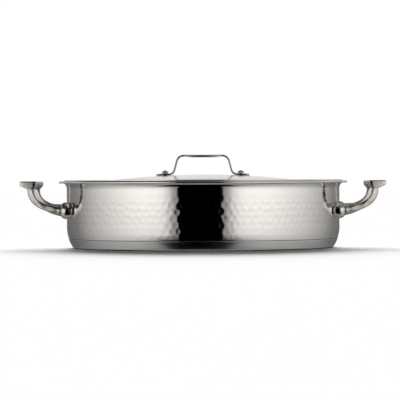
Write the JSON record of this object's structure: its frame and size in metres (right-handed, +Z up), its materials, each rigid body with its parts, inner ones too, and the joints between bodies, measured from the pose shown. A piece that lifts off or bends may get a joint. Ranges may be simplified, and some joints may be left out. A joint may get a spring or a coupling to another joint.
{
  "type": "low stockpot",
  "caption": "Low wide stainless stockpot: hammered wall, flared rim, sandwich base, riveted cast loop handles at the sides and a lift-off domed lid with a strap handle.",
  "frame": {"origin": "middle of the flat underside of the base, on the pot's axis", "axes": "+Z up along the pot's axis, +X through the two side handles towards the right one, -Y towards the picture's camera"},
  "size_m": [0.4764, 0.3806, 0.123],
  "materials": {
    "hammered_steel": "mirror polished stainless steel with rows of shallow hammer marks",
    "lid_steel": "polished stainless steel sheet, softly hammered",
    "base_steel": "polished stainless steel with fine turning lines",
    "core_aluminium": "plain bonded disc, hidden",
    "cast_steel": "cast stainless steel, tumbled to a bright satin",
    "boss_steel": "turned and polished stainless steel",
    "rivet_steel": "polished stainless steel",
    "strap_steel": "pressed stainless strip, polished"
  },
  "bodies": {
    "pot": {"pot_body": "hammered_steel", "base_core": "core_aluminium", "base_cap": "base_steel", "left_handle": "cast_steel", "left_front_boss": "boss_steel", "left_front_rivet": "rivet_steel", "left_rear_boss": "boss_steel", "left_rear_rivet": "rivet_steel", "right_handle": "cast_steel", "right_front_boss": "boss_steel", "right_front_rivet": "rivet_steel", "right_rear_boss": "boss_steel", "right_rear_rivet": "rivet_steel"},
    "lid": {"lid_shell": "lid_steel", "lid_handle": "strap_steel", "lid_rivet_left": "rivet_steel", "lid_rivet_right": "rivet_steel"}
  },
  "joints": [
    {"name": "lid_lift", "type": "slide", "parent": "pot", "child": "lid", "axis": [0, 0, 1], "range_m": [0, 0.15]}
  ]
}
